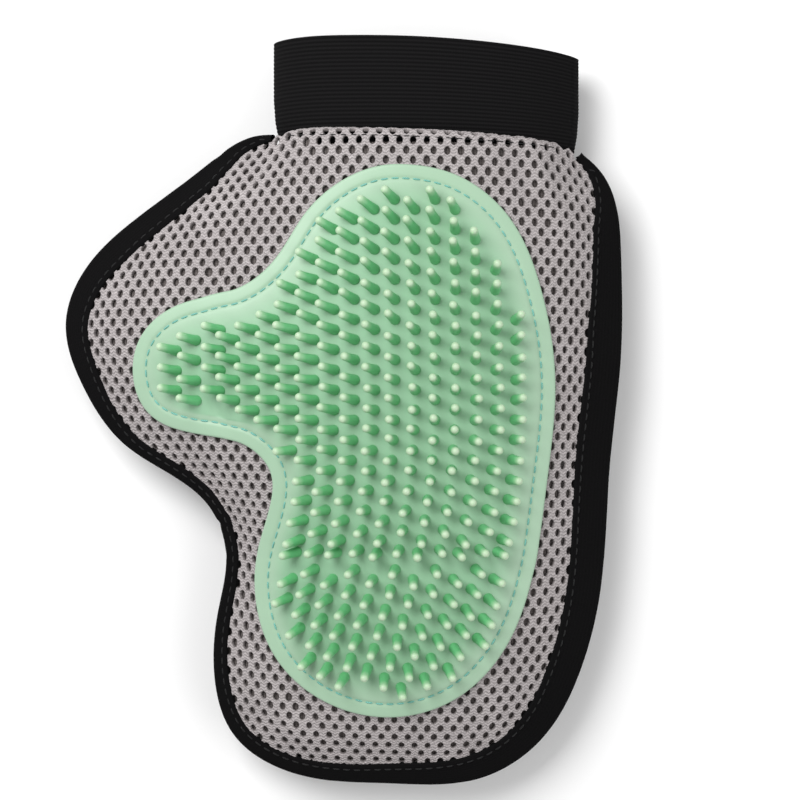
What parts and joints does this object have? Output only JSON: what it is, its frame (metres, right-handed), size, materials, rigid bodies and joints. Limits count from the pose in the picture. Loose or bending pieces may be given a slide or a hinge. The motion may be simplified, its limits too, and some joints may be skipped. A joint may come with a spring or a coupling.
{
  "type": "grooming glove",
  "caption": "Bound mesh mitten with a rubber pad of blunt pins on the palm, a thumb pocket and a ribbed elastic cuff, worn to stroke loose hair out of an animal's coat",
  "frame": {"origin": "the middle of the mitt's bounding box, on the surface that it lies on", "axes": "+Z out of the palm along the pins, +Y from the fingertips to the wrist, +X away from the thumb"},
  "size_m": [0.1795, 0.2398, 0.0513],
  "materials": {
    "air_mesh": "light grey knitted air mesh with staggered round holes",
    "lining": "dark charcoal woven lining, matte",
    "binding_tape": "black brushed knit binding tape",
    "elastic": "black woven elastic with fine crosswise ribs",
    "pad_rubber": "mint green soft moulded rubber, satin",
    "pin_rubber": "mint green soft moulded rubber, satin, slightly translucent",
    "teal_thread": "teal twisted sewing thread",
    "black_thread": "black twisted sewing thread"
  },
  "bodies": {
    "hand": {"back_lining_hand": "lining", "back_mesh_hand": "air_mesh", "bearing_pins_hand": "pin_rubber", "binding_stitching_hand": "black_thread", "cuff_stitching": "black_thread", "edge_binding_hand": "binding_tape", "fold_pins_hand": "pin_rubber", "grooming_pins_hand": "pin_rubber", "pad_stitching_hand": "teal_thread", "palm_lining_hand": "lining", "palm_mesh_hand": "air_mesh", "rubber_pad_hand": "pad_rubber", "wrist_elastic": "elastic"},
    "fingers": {"back_lining_fingers": "lining", "back_mesh_fingers": "air_mesh", "bearing_pins_fingers": "pin_rubber", "binding_stitching_fingers": "black_thread", "edge_binding_fingers": "binding_tape", "fold_pins_fingers": "pin_rubber", "grooming_pins_fingers": "pin_rubber", "pad_stitching_fingers": "teal_thread", "palm_lining_fingers": "lining", "palm_mesh_fingers": "air_mesh", "rubber_pad_fingers": "pad_rubber"},
    "thumb": {"back_lining_thumb": "lining", "back_mesh_thumb": "air_mesh", "bearing_pins_thumb": "pin_rubber", "binding_stitching_thumb": "black_thread", "edge_binding_thumb": "binding_tape", "fold_pins_thumb": "pin_rubber", "grooming_pins_thumb": "pin_rubber", "pad_stitching_thumb": "teal_thread", "palm_lining_thumb": "lining", "palm_mesh_thumb": "air_mesh", "rubber_pad_thumb": "pad_rubber"}
  },
  "joints": [
    {"name": "finger_curl", "type": "hinge", "parent": "hand", "child": "fingers", "pos_m": [0.02, -0.046, 0.038], "axis": [-1, 0, 0], "range_deg": [0, 45], "stiffness_Nm_per_rad": 0.1, "deforming": ["fold_pins_fingers", "fold_pins_hand"]},
    {"name": "thumb_fold", "type": "hinge", "parent": "hand", "child": "thumb", "pos_m": [-0.04, 0.01, 0.027], "axis": [0, 1, 0], "range_deg": [0, 35], "stiffness_Nm_per_rad": 0.06, "deforming": ["fold_pins_thumb"]}
  ]
}
